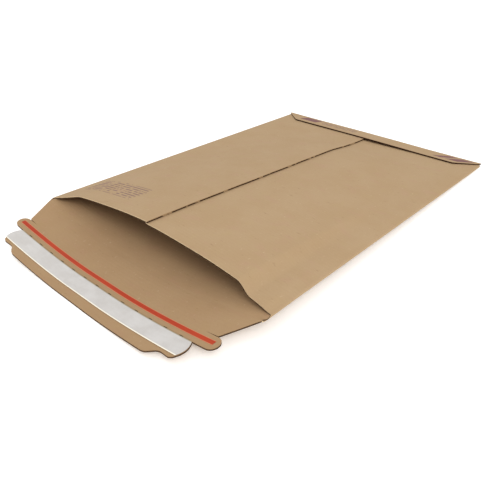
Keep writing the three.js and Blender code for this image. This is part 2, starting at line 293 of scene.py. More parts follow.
def crown_height(y):
    """Height of the upper panels' crown, which falls toward the closed end."""
    inward = clamp01(min(y, LEVEL_Y) / BODY_LENGTH)
    crown = END_CROWN + (MOUTH_CROWN - END_CROWN) * (1 - inward ** CROWN_FALL)
    pressed = smooth((y - FAR_PRESS_START) / (LEVEL_Y - FAR_PRESS_START))
    return crown * (1 - FAR_PRESS * pressed)


def upper_face(x, y, is_right=False):
    """Upper face of the panels, of which the right one dips under the left one at the seam."""
    rise = mix(mouth_shape(x), far_shape(x), smooth(y / FAR_SHAPE_DISTANCE))
    drop = (BOARD + LAP_GAP) * (1 - smooth((x - seam_x(y)) / LAP_EASE)) if is_right else 0
    fold_height = 2 * (FOLD_RADIUS - BOARD * crush(x, y))
    return side_lift(y) + fold_height + crown_height(y) * rise - drop + ripple(x, y)


def panel_front(x):
    """Front edge of the upper panels, cut back in the middle and less at the corners."""
    corner = RIGHT_CORNER_SETBACK if x > 0 else 0
    return mix(corner, MOUTH_SETBACK, smooth((FOLD_X - abs(x)) / SHOULDER_INSET))


def flap_face(x, outward):
    """Upper face of the closure flap, curved as the lower wall is at the mouth."""
    fall = FLAP_EDGE_FALL if x > 0 else LEFT_EDGE_FALL
    edge = MOUTH_EDGE_LIFT - fall * clamp01((outward - CREASE_Y) / (MARGIN_Y - CREASE_Y))
    across = max(0, abs(x) - FLAT_HALF_AT_MOUTH) / (FOLD_X - FLAT_HALF_AT_MOUTH)
    return edge * across ** TROUGH_POWER + BOARD


def crease_dip(y):
    """Depth of the pressed line where the closure flap is creased."""
    return CREASE_DIP * math.exp(-(((y + CREASE_Y) / CREASE_DIP_WIDTH) ** 2))


# Meshes


def boundary_edges(faces):
    """Edges that only one face has, in the order of that face, with the face."""
    seen = {}
    for face in faces:
        for k, a in enumerate(face):
            b = face[(k + 1) % len(face)]
            key = (min(a, b), max(a, b))
            seen[key] = None if key in seen else (a, b, face)
    return [edge for edge in seen.values() if edge]


def inward_directions(points, edges):
    """For each vertex of the rim, the way into the sheet."""
    inward = {}
    for a, b, face in edges:
        middle = (points[a] + points[b]) / 2
        centre = sum((points[v] for v in face), Vector()) / len(face)
        along = (points[b] - points[a]).normalized()
        toward = centre - middle
        toward = (toward - along * toward.dot(along)).normalized()
        for v in (a, b):
            inward[v] = inward.get(v, Vector()) + toward
    return {v: d.normalized() for v, d in inward.items()}


def rim_profile(grooved):
    """Steps round the cut edge, from the upper face down: share of the depth, and set-back."""
    if not grooved:
        return []
    share = LINER_SHARE
    depth = GROOVE_DEPTH
    deepest = depth * GROOVE_SWELL
    return [(share, 0), (share, depth), (0.5, deepest), (1 - share, depth), (1 - share, 0)]


def thick_sheet(name, upper, lower, plan, faces, materials, grooved=True):
    """A closed sheet between two like-numbered sets of points.

    plan holds each point's place on the flat board in metres, for the textures. The slots are
    upper face, lower face, edges cut along the flutes and edges cut across them.
    """
    points = list(upper) + list(lower)
    count = len(upper)
    plans = list(plan) + list(plan)
    depths = [0.0] * count + [1.0] * count
    polygons = [tuple(face) for face in faces]
    slots = [0] * len(faces)
    polygons += [tuple(reversed([v + count for v in face])) for face in faces]
    slots += [1] * len(faces)
    edges = boundary_edges(faces)
    inward = inward_directions(upper, edges)
    chains = {}
    for v in inward:
        chain = [v]
        for share, depth in rim_profile(grooved):
            chain.append(len(points))
            points.append(upper[v].lerp(lower[v], share) + inward[v] * depth * MM)
            plans.append(plan[v])
            depths.append(share)
        chains[v] = chain + [v + count]
    for a, b, _ in edges:
        run = Vector(plan[b]) - Vector(plan[a])
        slot = 2 if abs(run.x) > FLUTE_SLOPE * abs(run.y) else 3
        for k in range(len(chains[a]) - 1):
            polygons.append((chains[b][k], chains[a][k], chains[a][k + 1], chains[b][k + 1]))
            slots.append(slot)
    mesh = bpy.data.meshes.new(name)
    mesh.from_pydata(points, [], polygons)
    mesh.update()
    plan_layer = mesh.uv_layers.new(name="plan")
    section_layer = mesh.uv_layers.new(name="section")
    for loop in mesh.loops:
        v = loop.vertex_index
        plan_layer.data[loop.index].uv = plans[v]
        section_layer.data[loop.index].uv = (plans[v][1], depths[v])
    mesh.polygons.foreach_set("material_index", slots)
    mesh.polygons.foreach_set("use_smooth", [True] * len(polygons))
    mesh.set_sharp_from_angle(angle=math.radians(SHARP_ANGLE_DEG))
    sheet = bpy.data.objects.new(name, mesh)
    bpy.context.scene.collection.objects.link(sheet)
    for material in materials:
        mesh.materials.append(material)
    return sheet


def grid_faces(rows, columns):
    """Quads of a grid of points that is stored row by row."""
    faces = []
    for i in range(rows - 1):
        for j in range(columns - 1):
            p = i * columns + j
            faces.append((p, p + 1, p + columns + 1, p + columns))
    return faces


def ribbon_stops():
    """Places round the pouch: part, place in it, and distance round the flat board."""
    stops = []
    half_turn = math.pi * FOLD_RADIUS
    for k in range(PANEL_STEPS + 1):
        stops.append(("left", k / PANEL_STEPS, None))
    for k in range(1, FOLD_STEPS):
        turn = k / FOLD_STEPS
        stops.append(("left_fold", turn, -FOLD_X - half_turn * turn))
    for k in range(WALL_STEPS + 1):
        x = mix(-FOLD_X, FOLD_X, k / WALL_STEPS)
        stops.append(("wall", x, -FOLD_X - half_turn - (x + FOLD_X)))
    across = -3 * FOLD_X - half_turn
    for k in range(1, FOLD_STEPS):
        turn = k / FOLD_STEPS
        stops.append(("right_fold", turn, across - half_turn * turn))
    for k in range(PANEL_STEPS + 1):
        stops.append(("right", 1 - k / PANEL_STEPS, None))
    for k in range(1, LAP_STEPS + 1):
        stops.append(("lap", k / LAP_STEPS, None))
    return stops


def station_places():
    """Shares of the way from the front edge to the level end, close together at the front."""
    short = [k * FRONT_ROW_LENGTH / LEVEL_Y for k in range(FRONT_ROWS)]
    rest = STATION_STEPS - FRONT_ROWS
    long = [mix(short[-1], 1, k / rest) for k in range(1, rest + 1)]
    return short + long


def station_y(front_y, share):
    """Place along the body. No share means the panels' hidden end, in the closing flap."""
    if share is None:
        return PANEL_END_Y
    return mix(front_y, LEVEL_Y, share)


def panel_point(part, value, share, depth):
    """Point of an upper panel: value goes from the seam to the side fold, or along the lap."""
    fold_x = -FOLD_X if part == "left" else FOLD_X
    y = 0 if share is not None else BODY_LENGTH
    for _ in range(SETTLE_ROUNDS):
        x = mix(seam_x(y), fold_x, value)
        front = panel_front(x)
        if part == "lap":
            x = seam_x(y) - LAP_WIDTH * value
            front = panel_front(x) + LAP_SETBACK * smooth(2 * value)
        y = station_y(front, share)
    height = upper_face(x, y, part != "left")
    return x, y, height - depth * (1 - crush(x, y))


def ribbon_point(part, value, share, depth):
    """Place along the body, and the pouch's point there, at a depth in the board."""
    if part == "wall":
        y = station_y(-CREASE_Y, share)
        dip = crease_dip(y) if depth else 0
        thickness = depth * (1 - crush(value, y))
        return y, board_place(value, y, lower_face(value, y) + thickness - dip)
    if part in ("left", "right", "lap"):
        x, y, z = panel_point(part, value, share, depth)
        return y, board_place(x, y, z)
    is_left = part == "left_fold"
    angle = mix(90, 270, value) if is_left else mix(-90, 90, value)
    lowness = value if is_left else 1 - value
    front = panel_front(-FOLD_X if is_left else FOLD_X)
    y = station_y(mix(front, -CREASE_Y, smooth(lowness)), share)
    centre_x = -FOLD_X if is_left else FOLD_X
    pressed = crush(centre_x, y)
    half_height = FOLD_RADIUS - BOARD * pressed
    thickness = depth * (1 - pressed)
    turn = math.radians(angle)
    x = centre_x + (FOLD_RADIUS - thickness) * math.cos(turn)
    z = side_lift(y) + half_height + (half_height - thickness) * math.sin(turn)
    return y, board_place(x, y, z)


def make_pouch_ribbon(materials):
    """The folded board, from the left panel's edge round to the lap under it."""
    stops = ribbon_stops()
    panels_apart = -3 * FOLD_X - 2 * math.pi * FOLD_RADIUS
    shares = station_places() + [None]
    outer = []
    inner = []
    plan = []
    for share in shares:
        for part, value, around in stops:
            y, point = ribbon_point(part, value, share, 0)
            outer.append(point)
            inner.append(ribbon_point(part, value, share, BOARD)[1])
            if around is None:
                x = point.x / MM
                around = x if part == "left" else panels_apart - (FOLD_X - x)
            plan.append((around * MM, y * MM))
    faces = grid_faces(len(shares), len(stops))
    return thick_sheet("pouch_board", outer, inner, plan, faces, materials)


def wrap_half(y):
    """Half the width of the closing flap, with its mitred ends."""
    start_half = FOLD_X - END_FLAP_MITRE
    share = (y - (BODY_LENGTH - END_FLAP_DEPTH)) / MITRE_LENGTH
    return mix(start_half, BODY_WIDTH / 2, clamp01(share))


def wrap_height(x, y):
    """Outer height of the closing flap, which bridges the step at the seam."""
    return upper_face(x, y) + END_FLAP_GAP + BOARD * (1 - crush(x, y))


def wrap_rows():
    """Rows of the closing flap: on the floor, round the end, and back over the panels."""
    rows = [("floor", 0.0), ("floor", 0.5)]
    rows += [("round", k / FOLD_STEPS) for k in range(FOLD_STEPS + 1)]
    rows += [("top", k / WRAP_TOP_ROWS) for k in range(1, WRAP_TOP_ROWS + 1)]
    return rows


def wrap_point(kind, value, across, depth):
    """Point of the closing flap, and its place along the flat board."""
    end_y = BODY_LENGTH - END_FLAP_DEPTH
    reach = BODY_LENGTH
    for _ in range(SETTLE_ROUNDS):
        tuck = mix(WRAP_TUCK, 1, smooth(value)) if kind == "round" else 1
        if kind == "floor":
            tuck = WRAP_TUCK
        x = across * wrap_half(reach) * tuck
        height = wrap_height(x, reach)
        radius = height / 2
        centre_y = BODY_LENGTH - radius
        if kind == "top":
            reach = mix(centre_y, end_y, value)
        elif kind == "round":
            reach = centre_y
        else:
            reach = mix(PANEL_END_Y, centre_y, value)
    thickness = depth * (1 - crush(x, reach))
    if kind == "floor":
        return board_place(x, reach, thickness), (x, reach)
    if kind == "top":
        return board_place(x, reach, height - thickness), (x, reach)
    turn = math.radians(mix(-90, 90, value))
    inner_radius = radius - thickness
    y = centre_y + inner_radius * math.cos(turn)
    along = centre_y + math.pi * radius * (1 - value)
    return board_place(x, y, radius + inner_radius * math.sin(turn)), (x, along)


def make_closing_flap(materials):
    """The flap that wraps the closed end, from the floor back over the panels."""
    rows = wrap_rows()
    outer = []
    inner = []
    plan = []
    for kind, value in rows:
        for k in range(WRAP_COLUMNS + 1):
            across = mix(-1, 1, k / WRAP_COLUMNS)
            point, (u, v) = wrap_point(kind, value, across, 0)
            outer.append(point)
            inner.append(wrap_point(kind, value, across, BOARD)[0])
            plan.append((u * MM, v * MM))
    faces = grid_faces(len(rows), WRAP_COLUMNS + 1)
    return thick_sheet("closing_flap", outer, inner, plan, faces, materials)


def arc_points(centre_x, centre_y, radius, from_deg, to_deg):
    points = []
    for k in range(ARC_STEPS + 1):
        turn = math.radians(mix(from_deg, to_deg, k / ARC_STEPS))
        points.append((centre_x + radius * math.cos(turn), centre_y + radius * math.sin(turn)))
    return points


def band_ear():
    """The rounded end of the band that carries the liner."""
    end_y = -BAND_END_Y + BAND_TIP_ROUND
    points = []
    for k in range(ARC_STEPS + 1):
        t = k / ARC_STEPS
        points.append((BAND_HALF + 4 * BAND_EAR_BULGE * t * (1 - t), mix(-TEAR_LINE_Y, end_y, t)))
    return points


def margin_step(reach):
    """The soft step from the band's ear in to the outer margin, a cubic curve of four points."""
    heights = (-BAND_END_Y, -BAND_END_Y, -reach, -reach)
    ends = [(MARGIN_HALF + out, y) for out, y in zip(STEP_REACHES, heights)]
    points = []
    for k in range(ARC_STEPS + 1):
        t = k / ARC_STEPS
        weights = ((1 - t) ** 3, 3 * t * (1 - t) ** 2, 3 * t * t * (1 - t), t ** 3)
        points.append(tuple(sum(w * p[axis] for w, p in zip(weights, ends)) for axis in (0, 1)))
    return points


def flap_side(ear_reach, margin_reach):
    """One side of the closure flap's outline, from the crease out, drawn as the right one."""
    ear_radius = (TEAR_LINE_Y - SLIT_Y - SLIT_WIDTH / 2) / 2
    ear_centre_y = -(SLIT_Y + SLIT_WIDTH / 2 + TEAR_LINE_Y) / 2
    return [
        (FOLD_X, -CREASE_Y),
        (NECK_HALF, -SLIT_Y + SLIT_WIDTH / 2),
        (NECK_HALF - SLIT_DEPTH, -SLIT_Y),
        *arc_points(ear_reach - ear_radius, ear_centre_y, ear_radius, 90, -90),
        *band_ear(),
        (BAND_HALF - BAND_EAR_TIP, -BAND_END_Y - BAND_TIP_ROUND),
        *margin_step(margin_reach),
    ]


def mirrored(side):
    """The left side of an outline, made from its right side, in the order that follows it."""
    return [(-x, y) for x, y in reversed(side)]


def flap_outline():
    """The die-cut outline, a little smaller on the left than on the right."""
    right = flap_side(TEAR_EAR_REACH, MARGIN_Y)
    left = flap_side(LEFT_EAR_REACH, LEFT_MARGIN_Y)
    return right + mirrored(left)


def nick_outlines():
    """The short cuts of the tear line."""
    outlines = []
    count = math.floor((BAND_HALF - NICK_LENGTH) / NICK_PITCH)
    for k in range(-count, count + 1):
        x0 = k * NICK_PITCH - NICK_LENGTH / 2
        x1 = x0 + NICK_LENGTH
        y0 = -TEAR_LINE_Y - NICK_WIDTH / 2
        y1 = y0 + NICK_WIDTH
        outlines.append([(x0, y0), (x1, y0), (x1, y1), (x0, y1)])
    return outlines


def refined(outline, step):
    """The outline with its long sides divided."""
    points = []
    for k, (x, y) in enumerate(outline):
        next_x, next_y = outline[(k + 1) % len(outline)]
        pieces = max(1, round(math.hypot(next_x - x, next_y - y) / step))
        for i in range(pieces):
            points.append((mix(x, next_x, i / pieces), mix(y, next_y, i / pieces)))
    return points


def inside(x, y, outline):
    within = False
    for k, (ax, ay) in enumerate(outline):
        bx, by = outline[(k + 1) % len(outline)]
        if (ay > y) != (by > y) and x < ax + (y - ay) * (bx - ax) / (by - ay):
            within = not within
    return within


def far_from(x, y, points, gap):
    return all((x - px) ** 2 + (y - py) ** 2 > gap * gap for px, py in points)


def flat_mesh(outline, holes, step):
    """Triangles of a flat outline with holes, with a grid of points inside."""
    rim = refined(outline, step)
    loops = [rim] + holes
    points = []
    edges = []
    for loop in loops:
        start = len(points)
        points += loop
        edges += [(start + k, start + (k + 1) % len(loop)) for k in range(len(loop))]
    rims = list(points)
    min_x, max_x = min(p[0] for p in rim), max(p[0] for p in rim)
    min_y, max_y = min(p[1] for p in rim), max(p[1] for p in rim)
    columns = round((max_x - min_x) / step)
    rows = max(1, round((max_y - min_y) / step))
    for i in range(1, rows):
        y = mix(min_y, max_y, i / rows)
        near = [p for p in rims if abs(p[1] - y) < step]
        for j in range(1, columns):
            x = mix(min_x, max_x, j / columns)
            if inside(x, y, rim) and far_from(x, y, near, step * GRID_CLEARANCE):
                points.append((x, y))
    flat = [Vector(p) for p in points]
    found, _, triangles, *_ = geometry.delaunay_2d_cdt(flat, edges, [], 2, MERGE_DISTANCE)
    return found, triangles


def make_flap_layer(name, outline, holes, step, high, low, materials, grooved=False):
    """A layer on the closure flap: a flat outline, bent to the flap's face, between two heights."""
    found, triangles = flat_mesh(outline, holes, step)
    upper = []
    lower = []
    for p in found:
        face = flap_face(p.x, -p.y)
        dip = crease_dip(p.y) if low < 0 else 0
        upper.append(place(p.x, p.y, face + high - dip))
        lower.append(place(p.x, p.y, face + low))
    plan = [(p.x * MM, p.y * MM) for p in found]
    return thick_sheet(name, upper, lower, plan, triangles, materials, grooved)


def tape_outline():
    near_y = -TAPE_Y + TAPE_WIDTH / 2
    far_y = -TAPE_Y - TAPE_WIDTH / 2
    left = -LEFT_TAPE_END
    return [(TAPE_HALF_LENGTH, near_y), (TAPE_HALF_LENGTH, far_y), (left, far_y), (left, near_y)]


def liner_outline():
    """The liner, with its ends flush with the ears of the band under it."""
    ear = band_ear()

    def edge_at(y):
        for (ax, ay), (bx, by) in zip(ear, ear[1:]):
            if by <= y:
                return mix(ax, bx, (ay - y) / (ay - by))
        return ear[-1][0]

    side = []
    for k in range(ARC_STEPS + 1):
        y = mix(-LINER_START_Y, -LINER_START_Y - LINER_WIDTH, k / ARC_STEPS)
        side.append((edge_at(y), y))
    return side + mirrored(side)


def make_seam_glue(material):
    """The glue in the lap, between the right panel's hidden edge and the left panel."""
    upper = []
    lower = []
    plan = []
    middle = LAP_WIDTH / 2
    start_y = MOUTH_SETBACK + SEAM_GLUE_END_INSET
    end_y = BODY_LENGTH - END_FLAP_DEPTH - SEAM_GLUE_END_INSET
    for i in range(GLUE_ROWS + 1):
        y = mix(start_y, end_y, i / GLUE_ROWS)
        for j in range(GLUE_COLUMNS + 1):
            x = seam_x(y) - middle + mix(-SEAM_GLUE_WIDTH, SEAM_GLUE_WIDTH, j / GLUE_COLUMNS) / 2
            top = upper_face(x, y) - BOARD - (LAP_GAP - GLUE_THICKNESS) / 2
            upper.append(board_place(x, y, top))
            lower.append(board_place(x, y, top - GLUE_THICKNESS))
            plan.append((x * MM, y * MM))
    faces = grid_faces(GLUE_ROWS + 1, GLUE_COLUMNS + 1)
    return thick_sheet("seam_glue", upper, lower, plan, faces, [material] * 4, grooved=False)


def make_end_glue(material):
    """The glue under the closing flap, on the left panel."""
    upper = []
    lower = []
    plan = []
    start_x = -BODY_WIDTH / 2 + END_FLAP_MITRE + END_GLUE_SIDE_INSET
    end_x = seam_x(BODY_LENGTH) - END_GLUE_SIDE_INSET
    middle_y = BODY_LENGTH - END_FLAP_DEPTH / 2 - PANEL_END_INSET / 2
    for i in range(GLUE_COLUMNS + 1):
        y = middle_y + mix(-END_GLUE_WIDTH, END_GLUE_WIDTH, i / GLUE_COLUMNS) / 2
        for j in range(GLUE_ROWS + 1):
            x = mix(start_x, end_x, j / GLUE_ROWS)
            top = upper_face(x, y) + (END_FLAP_GAP + GLUE_THICKNESS) / 2
            upper.append(board_place(x, y, top))
            lower.append(board_place(x, y, top - GLUE_THICKNESS))
            plan.append((x * MM, y * MM))
    faces = grid_faces(GLUE_COLUMNS + 1, GLUE_ROWS + 1)
    return thick_sheet("end_glue", upper, lower, plan, faces, [material] * 4, grooved=False)


# Materials


def tint(red, green, blue):
    """Linear colour of display values from 0 to 255."""
    def linear(value):
        share = value / 255
        return share / 12.92 if share <= 0.04045 else ((share + 0.055) / 1.055) ** 2.4
    return (linear(red), linear(green), linear(blue), 1.0)


class Graph:
    """A material's node tree, with short calls for the nodes that the materials here use."""

    def __init__(self, name):
        self.material = bpy.data.materials.new(name)
        self.material.use_nodes = True
        self.tree = self.material.node_tree
        self.tree.nodes.clear()
        self.shader = self.add("ShaderNodeBsdfPrincipled")
        output = self.add("ShaderNodeOutputMaterial")
        self.tree.links.new(self.shader.outputs["BSDF"], output.inputs["Surface"])

    def add(self, kind, inputs=None, **settings):
        node = self.tree.nodes.new(kind)
        for key, value in settings.items():
            setattr(node, key, value)
        for key, value in (inputs or {}).items():
            self.feed(node.inputs[key], value)
        return node

    def feed(self, socket, value):
        if isinstance(value, bpy.types.NodeSocket):
            self.tree.links.new(value, socket)
        else:
            socket.default_value = value

    def math(self, operation, *values):
        node = self.add("ShaderNodeMath", operation=operation)
        for k, value in enumerate(values):
            self.feed(node.inputs[k], value)
        return node.outputs[0]

    def mix(self, factor, a, b):
        node = self.add("ShaderNodeMix", data_type="RGBA")
        self.feed(node.inputs[0], factor)
        self.feed(node.inputs[6], a)
        self.feed(node.inputs[7], b)
        return node.outputs[2]

    def ramp(self, value, low, high, start=0.0, end=1.0):
        """A value mapped smoothly from one range to another."""
        node = self.add("ShaderNodeMapRange", interpolation_type="SMOOTHSTEP")
        mapped = {"Value": value, "From Min": low, "From Max": high, "To Min": start, "To Max": end}
        for key, number in mapped.items():
            self.feed(node.inputs[key], number)
        return node.outputs[0]

    def vary(self, noise, start=0.0, end=1.0):
        """Soft noise spread smoothly from one value to another."""
        return self.ramp(noise, NOISE_LOW, NOISE_HIGH, start, end)

    def noise(self, vector, scale, detail=3.0, rough=0.55, stretch=None):
        """Soft noise, its scale in cells a metre."""
        if stretch:
            vector = self.add("ShaderNodeMapping", {"Vector": vector, "Scale": stretch}).outputs[0]
        inputs = {"Vector": vector, "Scale": scale, "Detail": detail, "Roughness": rough}
        return self.add("ShaderNodeTexNoise", inputs).outputs["Fac"]

    def uv(self, name):
        return self.add("ShaderNodeUVMap", uv_map=name).outputs[0]

    def split(self, vector):
        node = self.add("ShaderNodeSeparateXYZ", {"Vector": vector})
        return node.outputs[0], node.outputs[1]

    def inside_range(self, value, low, high, soft):
        """1 between two values and 0 outside them, with soft edges."""
        rising = self.ramp(value, low - soft, low + soft)
        falling = self.ramp(value, high - soft, high + soft, 1.0, 0.0)
        return self.math("MULTIPLY", rising, falling)

    def bump(self, height, distance, strength, normal=None):
        inputs = {"Height": height, "Distance": distance, "Strength": strength}
        if normal:
            inputs["Normal"] = normal
        return self.add("ShaderNodeBump", inputs).outputs[0]

    def surface(self, colour, roughness, relief, specular=None):
        """Feeds the shader, and gives back the material."""
        self.feed(self.shader.inputs["Base Color"], colour)
        self.feed(self.shader.inputs["Roughness"], roughness)
        self.feed(self.shader.inputs["Normal"], relief)
        if specular is not None:
            self.shader.inputs["Specular IOR Level"].default_value = specular
        return self.material


# Range over which soft noise varies. Each noise below is a scale, detail, roughness and stretch.
# Each relief is a height in metres and a strength.
NOISE_LOW = 0.3
NOISE_HIGH = 0.7

# Kraft paper
FIBRE_DARK = tint(122, 92, 64)
FIBRE_PALE = tint(200, 178, 148)
OUTER_TONES = {
    "base": tint(168, 141, 107),
    "light": tint(171, 145, 112),
    "pink": tint(172, 138, 113),
    "yellow": tint(170, 146, 106),
    "dark": FIBRE_DARK,
    "pale": FIBRE_PALE,
}
INNER_TONES = {
    "base": tint(160, 130, 96),
    "light": tint(163, 134, 100),
    "pink": tint(163, 127, 100),
    "yellow": tint(162, 134, 93),
    "dark": FIBRE_DARK,
    "pale": FIBRE_PALE,
}
# For each layer, its noise, the range of it that shows, and the strength
KRAFT_LAYERS = {
    "pink": ((61, 3, 0.5, (1.0, 1.6, 1.0)), (0.52, 0.74), 0.35),
    "yellow": ((83, 3, 0.5, (1.4, 1.0, 7.0)), (0.54, 0.76), 0.3),
    "dark": ((420, 4, 0.65, (0.35, 1.0, 1.0)), (0.61, 0.75), 0.42),
    "pale": ((560, 4, 0.6, (1.0, 0.4, 3.0)), (0.62, 0.76), 0.45),
}
CLOUD_NOISE = (28, 5, 0.6)
CLOUD_RANGE = (0.32, 0.68)
FLUTE_NOISE = (17, 2)
FLUTE_LEAST = 0.3
FLUTE_SHADE = 0.03
FLUTE_RELIEF = (0.00003, 0.35)
FIBRE_NOISE = (900, 5, 0.7, (0.4, 1.0, 1.0))
FIBRE_RELIEF = (0.00025, 0.35)
KRAFT_ROUGHNESS = (0.78, 0.95)
KRAFT_SPECULAR = 0.25

# Generic print: left, right, near and far edges and pitch in millimetres, parts of a row as shares
INK = tint(112, 84, 88)
PURPLE_INK = tint(106, 64, 78)
PRINT_BLOCK = (-112, -46, 24, 50)
PRINT_PITCH = 3.7
CLOSING_PRINT = (-70, -22, 330, 340)
CLOSING_PRINT_PITCH = 2.5
PRINT_WEIGHT = 0.7
BAR_START = 0.26
BAR_END = 0.72
BAR_SOFT = 0.08
BREAK_NOISE = (260, 1, 0.5, (1.0, 0.37, 1.0))
BREAK_RANGE = (0.40, 0.47)
# Each field of ink has its edges and the slant of its ends
INK_FIELDS = (
    ((-98, -75, 330, 341), 0.4),
    ((83, 93, 329, 341), 1.2),
    ((97, 111, 329, 341), 1.2),
)
FIELD_WEIGHT = 0.8
WEAR_NOISE = (700, 3, 0.6)
WEAR_RANGE = (0.3, 0.5)
WORN_SHARE = 0.75
INK_SOFT = 0.2

# Painted shade in the cuts of the tear line, dark dashes with a fainter line between them:
# where they fade, in millimetres across and shares of a nick along
TEAR_CUT_SHADE = tint(74, 58, 38)
DASH_HALF_WIDTH = (0.4, 0.8)
DASH_END = (0.6, 0.8)
DASH_REST = 0.2
DASH_FADE = 1

# Cut edges, in shares of the board's thickness: the medium's wave and width, and the liners
WAVE_MIDDLE = 0.46
WAVE_HEIGHT = 0.33
WAVE_WOBBLE = 0.08
WOBBLE_NOISE = (350, 3, 0.6)
MEDIUM_ACROSS = 0.09
MEDIUM_ALONG = 0.32
MEDIUM_SOFT = 0.3
LOWER_LINER = (0.82, 0.9)
LINER_RAGGED = 0.06
LINER_SOFT = 0.05
SPECKLE_NOISE = (1300, 3, 0.6)
SPECKLE_RANGE = (0.45, 0.75)
SPECKLE_STRENGTH = 0.35
CONTACT_NOISE = (62, 2, 0.7)
CONTACT_RANGE = (0.53, 0.58)
CONTACT_STRENGTH = 0.9
EDGE_RELIEF = (0.0004, 0.4)
EDGE_ROUGHNESS = (0.85, 1.0)
EDGE_SPECULAR = 0.15
# For each edge, the share that the upper liner lights, and the tones of liner, medium and gap,
# with the edge's light and shade painted into them
# Mouth: painted highlight on the upper liner, painted shade in the medium and the flute gaps
MOUTH_EDGE_LIGHT_AND_SHADE = (0.6, tint(212, 190, 154), tint(84, 60, 42), tint(54, 38, 28))
# Seam: the liner in its own tone, painted shadow under the lap in the medium and gap
SEAM_EDGE_SHADOW = (0.42, tint(168, 140, 106), tint(70, 48, 32), tint(44, 30, 22))
# Closure flap: all three tones darkened as painted shade
FLAP_EDGE_SHADE = (0.30, tint(150, 122, 90), tint(86, 64, 46), tint(56, 40, 30))
# Closing flap: darkest, painted shadow under its edge
CLOSING_EDGE_SHADOW = (0.16, tint(110, 80, 56), tint(58, 38, 26), tint(34, 22, 16))

# Tear tape, and where its pale rim starts, in millimetres from its middle
TAPE_BASE = tint(166, 54, 28)
TAPE_LIGHT = tint(176, 64, 36)
TAPE_LINES = tint(146, 42, 24)
TAPE_RIM = tint(196, 132, 98)
TAPE_RIM_START = (1.5, 1.8)
TAPE_CLOUD_NOISE = (90, 3, 0.6, (0.4, 1.0, 1.0))
TAPE_LINE_NOISE = (1400, 2, 0.5, (0.02, 1.0, 1.0))
TAPE_LINE_RANGE = (0.5, 0.7)
TAPE_LINE_STRENGTH = 0.35
TAPE_RELIEF = (0.00012, 0.4)
TAPE_ROUGHNESS = (0.4, 0.55)
TAPE_SPECULAR = 0.15

# Release liner, with a painted highlight along its far edge and a painted shade line along its near
# edge, and where they fade, in millimetres from its edges
LINER_BASE = tint(188, 184, 180)
LINER_LIGHT = tint(198, 195, 192)
LINER_STREAKS = tint(184, 181, 178)
LINER_FAR_HIGHLIGHT = tint(240, 234, 218)
LINER_NEAR_SHADE = tint(140, 128, 92)
FAR_HIGHLIGHT_WIDTH = (0.9, 0.5)
NEAR_SHADE_WIDTH = (0.4, 0.8)
NEAR_SHADE_STRENGTH = 0.8
LINER_CLOUD_NOISE = (70, 4, 0.6)
STREAK_NOISE = (300, 3, 0.6, (0.25, 1.0, 1.0))
STREAK_RANGE = (0.5, 0.72)
STREAK_STRENGTH = 0.3
LINER_RELIEF = (0.0006, 0.25)
LINER_ROUGHNESS = (0.42, 0.58)

# Adhesive and glue, for each its two tones and its least roughness
CLEAR_ADHESIVE = (tint(206, 196, 160), tint(226, 218, 190), 0.3)
DRIED_GLUE = (tint(222, 214, 190), tint(238, 232, 214), 0.45)
GLUE_ROUGHNESS_RANGE = 0.2
GLUE_NOISE = (240, 4, 0.6)
GLUE_RELIEF = (0.0003, 0.4)

FLOOR_NOISE = (3, 2, 0.5)
FLOOR_TONES = (tint(250, 250, 250), tint(252, 252, 252))
FLOOR_ROUGHNESS = 0.9
FLOOR_SPECULAR = 0.1


def kraft_colour(graph, plan, tones):
    """Kraft paper: soft clouds, a little pink and yellow, and dark and pale fibres."""
    clouds = graph.ramp(graph.noise(plan, *CLOUD_NOISE), *CLOUD_RANGE)
    colour = graph.mix(clouds, tones["base"], tones["light"])
    for layer, (noise, shown, strength) in KRAFT_LAYERS.items():
        patches = graph.ramp(graph.noise(plan, *noise), *shown, 0.0, strength)
        colour = graph.mix(patches, colour, tones[layer])
    return colour


def finish_kraft(graph, plan, colour):
    """Gloss and relief of kraft board, with the flutes faintly showing through as relief and as
    painted shade.
    """
    _, along = graph.split(plan)
    wave = graph.math("SINE", graph.math("MULTIPLY", along, 2 * math.pi / (FLUTE_PITCH * MM)))
    clearness = graph.vary(graph.noise(plan, *FLUTE_NOISE), FLUTE_LEAST, 1.0)
    washboard = graph.math("MULTIPLY", wave, clearness)
    # Painted shade following the washboard's waves
    lit = graph.ramp(washboard, -1.0, 1.0, 0.0, FLUTE_SHADE)
    colour = graph.mix(lit, colour, FIBRE_DARK)
    fibres = graph.noise(plan, *FIBRE_NOISE)
    relief = graph.bump(washboard, *FLUTE_RELIEF)
    relief = graph.bump(fibres, *FIBRE_RELIEF, relief)
    return graph.surface(colour, graph.vary(fibres, *KRAFT_ROUGHNESS), relief, KRAFT_SPECULAR)


def ink_area(graph, u, v, x0, x1, y0, y1):
    """1 in a rectangle of print and 0 outside it."""
    soft = INK_SOFT * MM
    on_width = graph.inside_range(u, x0, x1, soft)
    return graph.math("MULTIPLY", on_width, graph.inside_range(v, y0, y1, soft))


def print_rows(graph, plan, box, pitch):
    """A block of short plain bars in rows, as small print looks from a step away."""
    u, v = graph.split(plan)
    x0, x1, y0, y1 = (value * MM for value in box)
    area = ink_area(graph, u, v, x0, x1, y0, y1)
    row = graph.math("FLOOR", graph.math("DIVIDE", v, pitch * MM))
    share = graph.math("FRACT", graph.math("DIVIDE", v, pitch * MM))
    bars = graph.inside_range(share, BAR_START, BAR_END, BAR_SOFT)
    cells = graph.add("ShaderNodeCombineXYZ", {"X": u, "Y": row}).outputs[0]
    gaps = graph.ramp(graph.noise(cells, *BREAK_NOISE), *BREAK_RANGE)
    strength = graph.math("MULTIPLY", graph.math("MULTIPLY", bars, gaps), PRINT_WEIGHT)
    return graph.math("MULTIPLY", area, strength)


